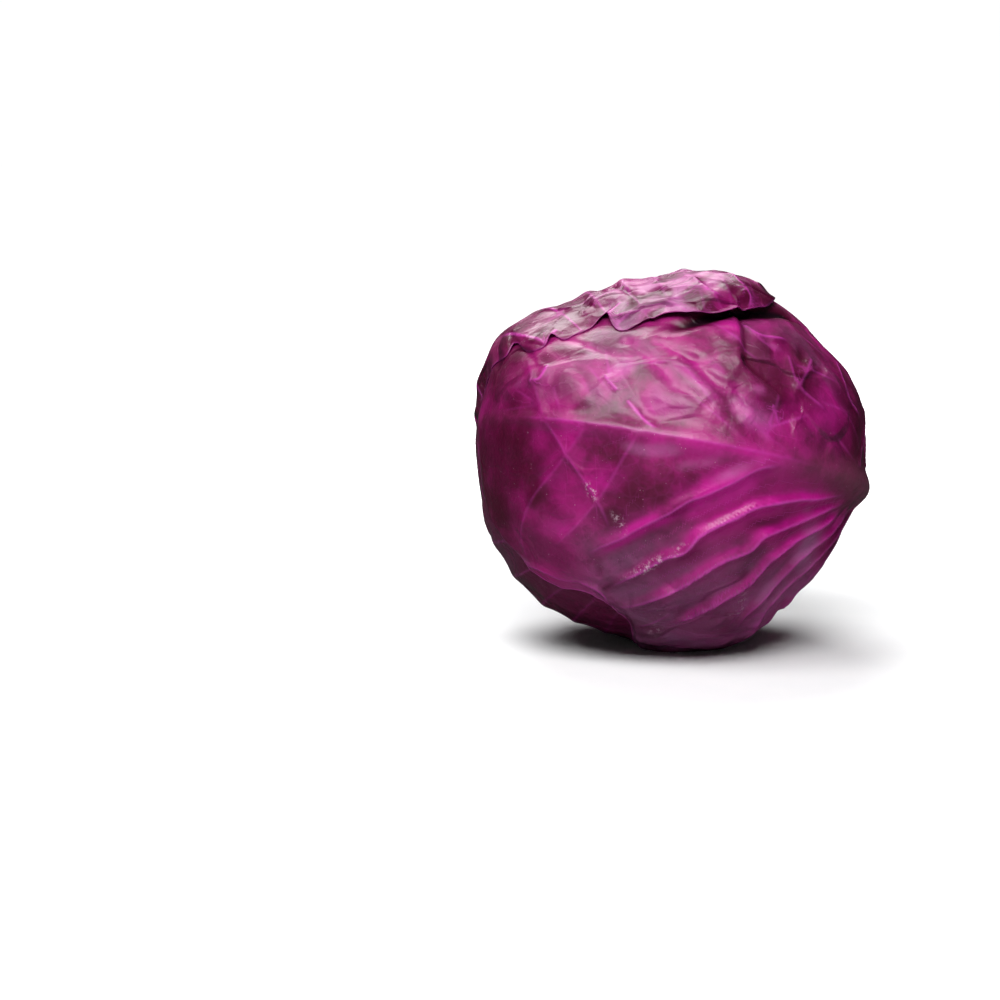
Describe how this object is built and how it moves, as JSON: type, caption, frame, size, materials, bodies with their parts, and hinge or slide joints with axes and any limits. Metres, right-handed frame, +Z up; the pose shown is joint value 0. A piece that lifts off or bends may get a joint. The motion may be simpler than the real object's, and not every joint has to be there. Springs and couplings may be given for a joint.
{
  "type": "red cabbage",
  "caption": "Whole red cabbage head lying on its side: waxy purple leaves with raised midribs wrapped over each other round a heart and a cut stem.",
  "frame": {"origin": "on the surface it rests on, under the middle of the head's bounding box", "axes": "+X to the side where the stem end lies, +Y from the front leaf's face to the back of the head, +Z up"},
  "size_m": [0.1526, 0.1482, 0.1447],
  "materials": {
    "wrapper_leaf": "waxy satin",
    "head_leaf": "waxy satin",
    "heart": "satin",
    "stem": "matte, freshly cut"
  },
  "bodies": {
    "root": {"wrapper_leaf_top": "wrapper_leaf", "wrapper_leaf_front": "wrapper_leaf", "wrapper_leaf_under": "wrapper_leaf", "wrapper_leaf_crown": "wrapper_leaf", "head_leaf_5": "head_leaf", "head_leaf_6": "head_leaf", "head_leaf_7": "head_leaf", "head_leaf_8": "head_leaf", "heart": "heart", "stem": "stem"}
  },
  "joints": []
}
